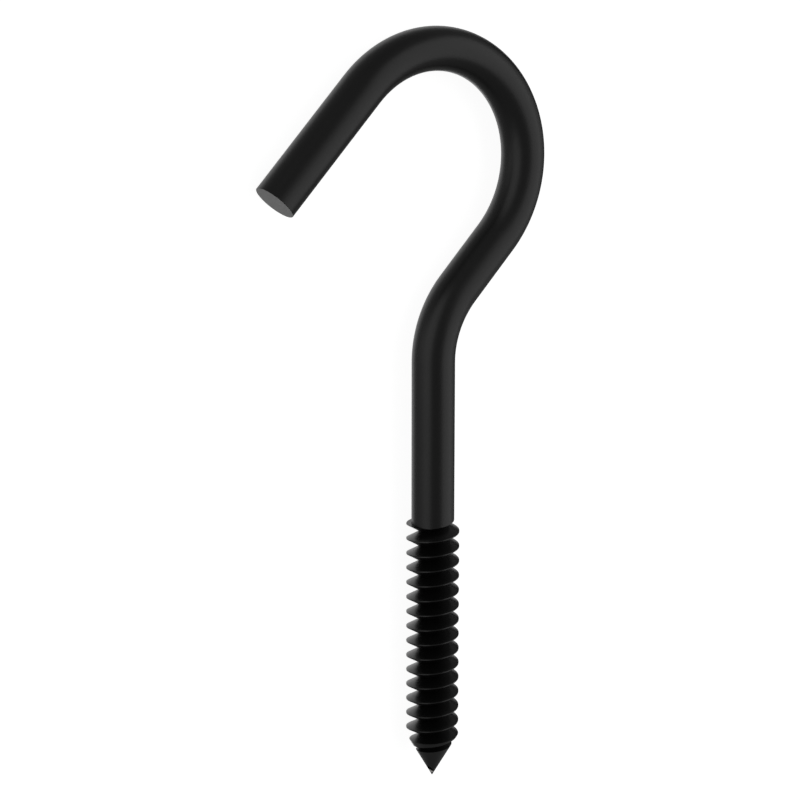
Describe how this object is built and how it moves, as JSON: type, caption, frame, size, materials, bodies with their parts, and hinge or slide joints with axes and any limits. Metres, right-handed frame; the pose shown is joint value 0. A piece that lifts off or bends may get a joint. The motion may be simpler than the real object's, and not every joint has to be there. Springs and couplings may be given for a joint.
{
  "type": "screw hook",
  "caption": "One-piece screw hook of round steel wire: a long open hook above a straight shank with a coarse pointed screw thread, in satin black.",
  "frame": {"origin": "on the screw's axis where the thread's shoulder meets the plain shank", "axes": "+Y along the screw's axis from the point towards the hook, +X in the hook's plane towards the side that the offset bend leans to, +Z square to the hook's plane and up as the part lies"},
  "size_m": [0.0605, 0.1416, 0.0098],
  "materials": {
    "black_coated_steel": "satin black coating over steel"
  },
  "bodies": {
    "root": {"screw_hook": "black_coated_steel"}
  },
  "joints": []
}
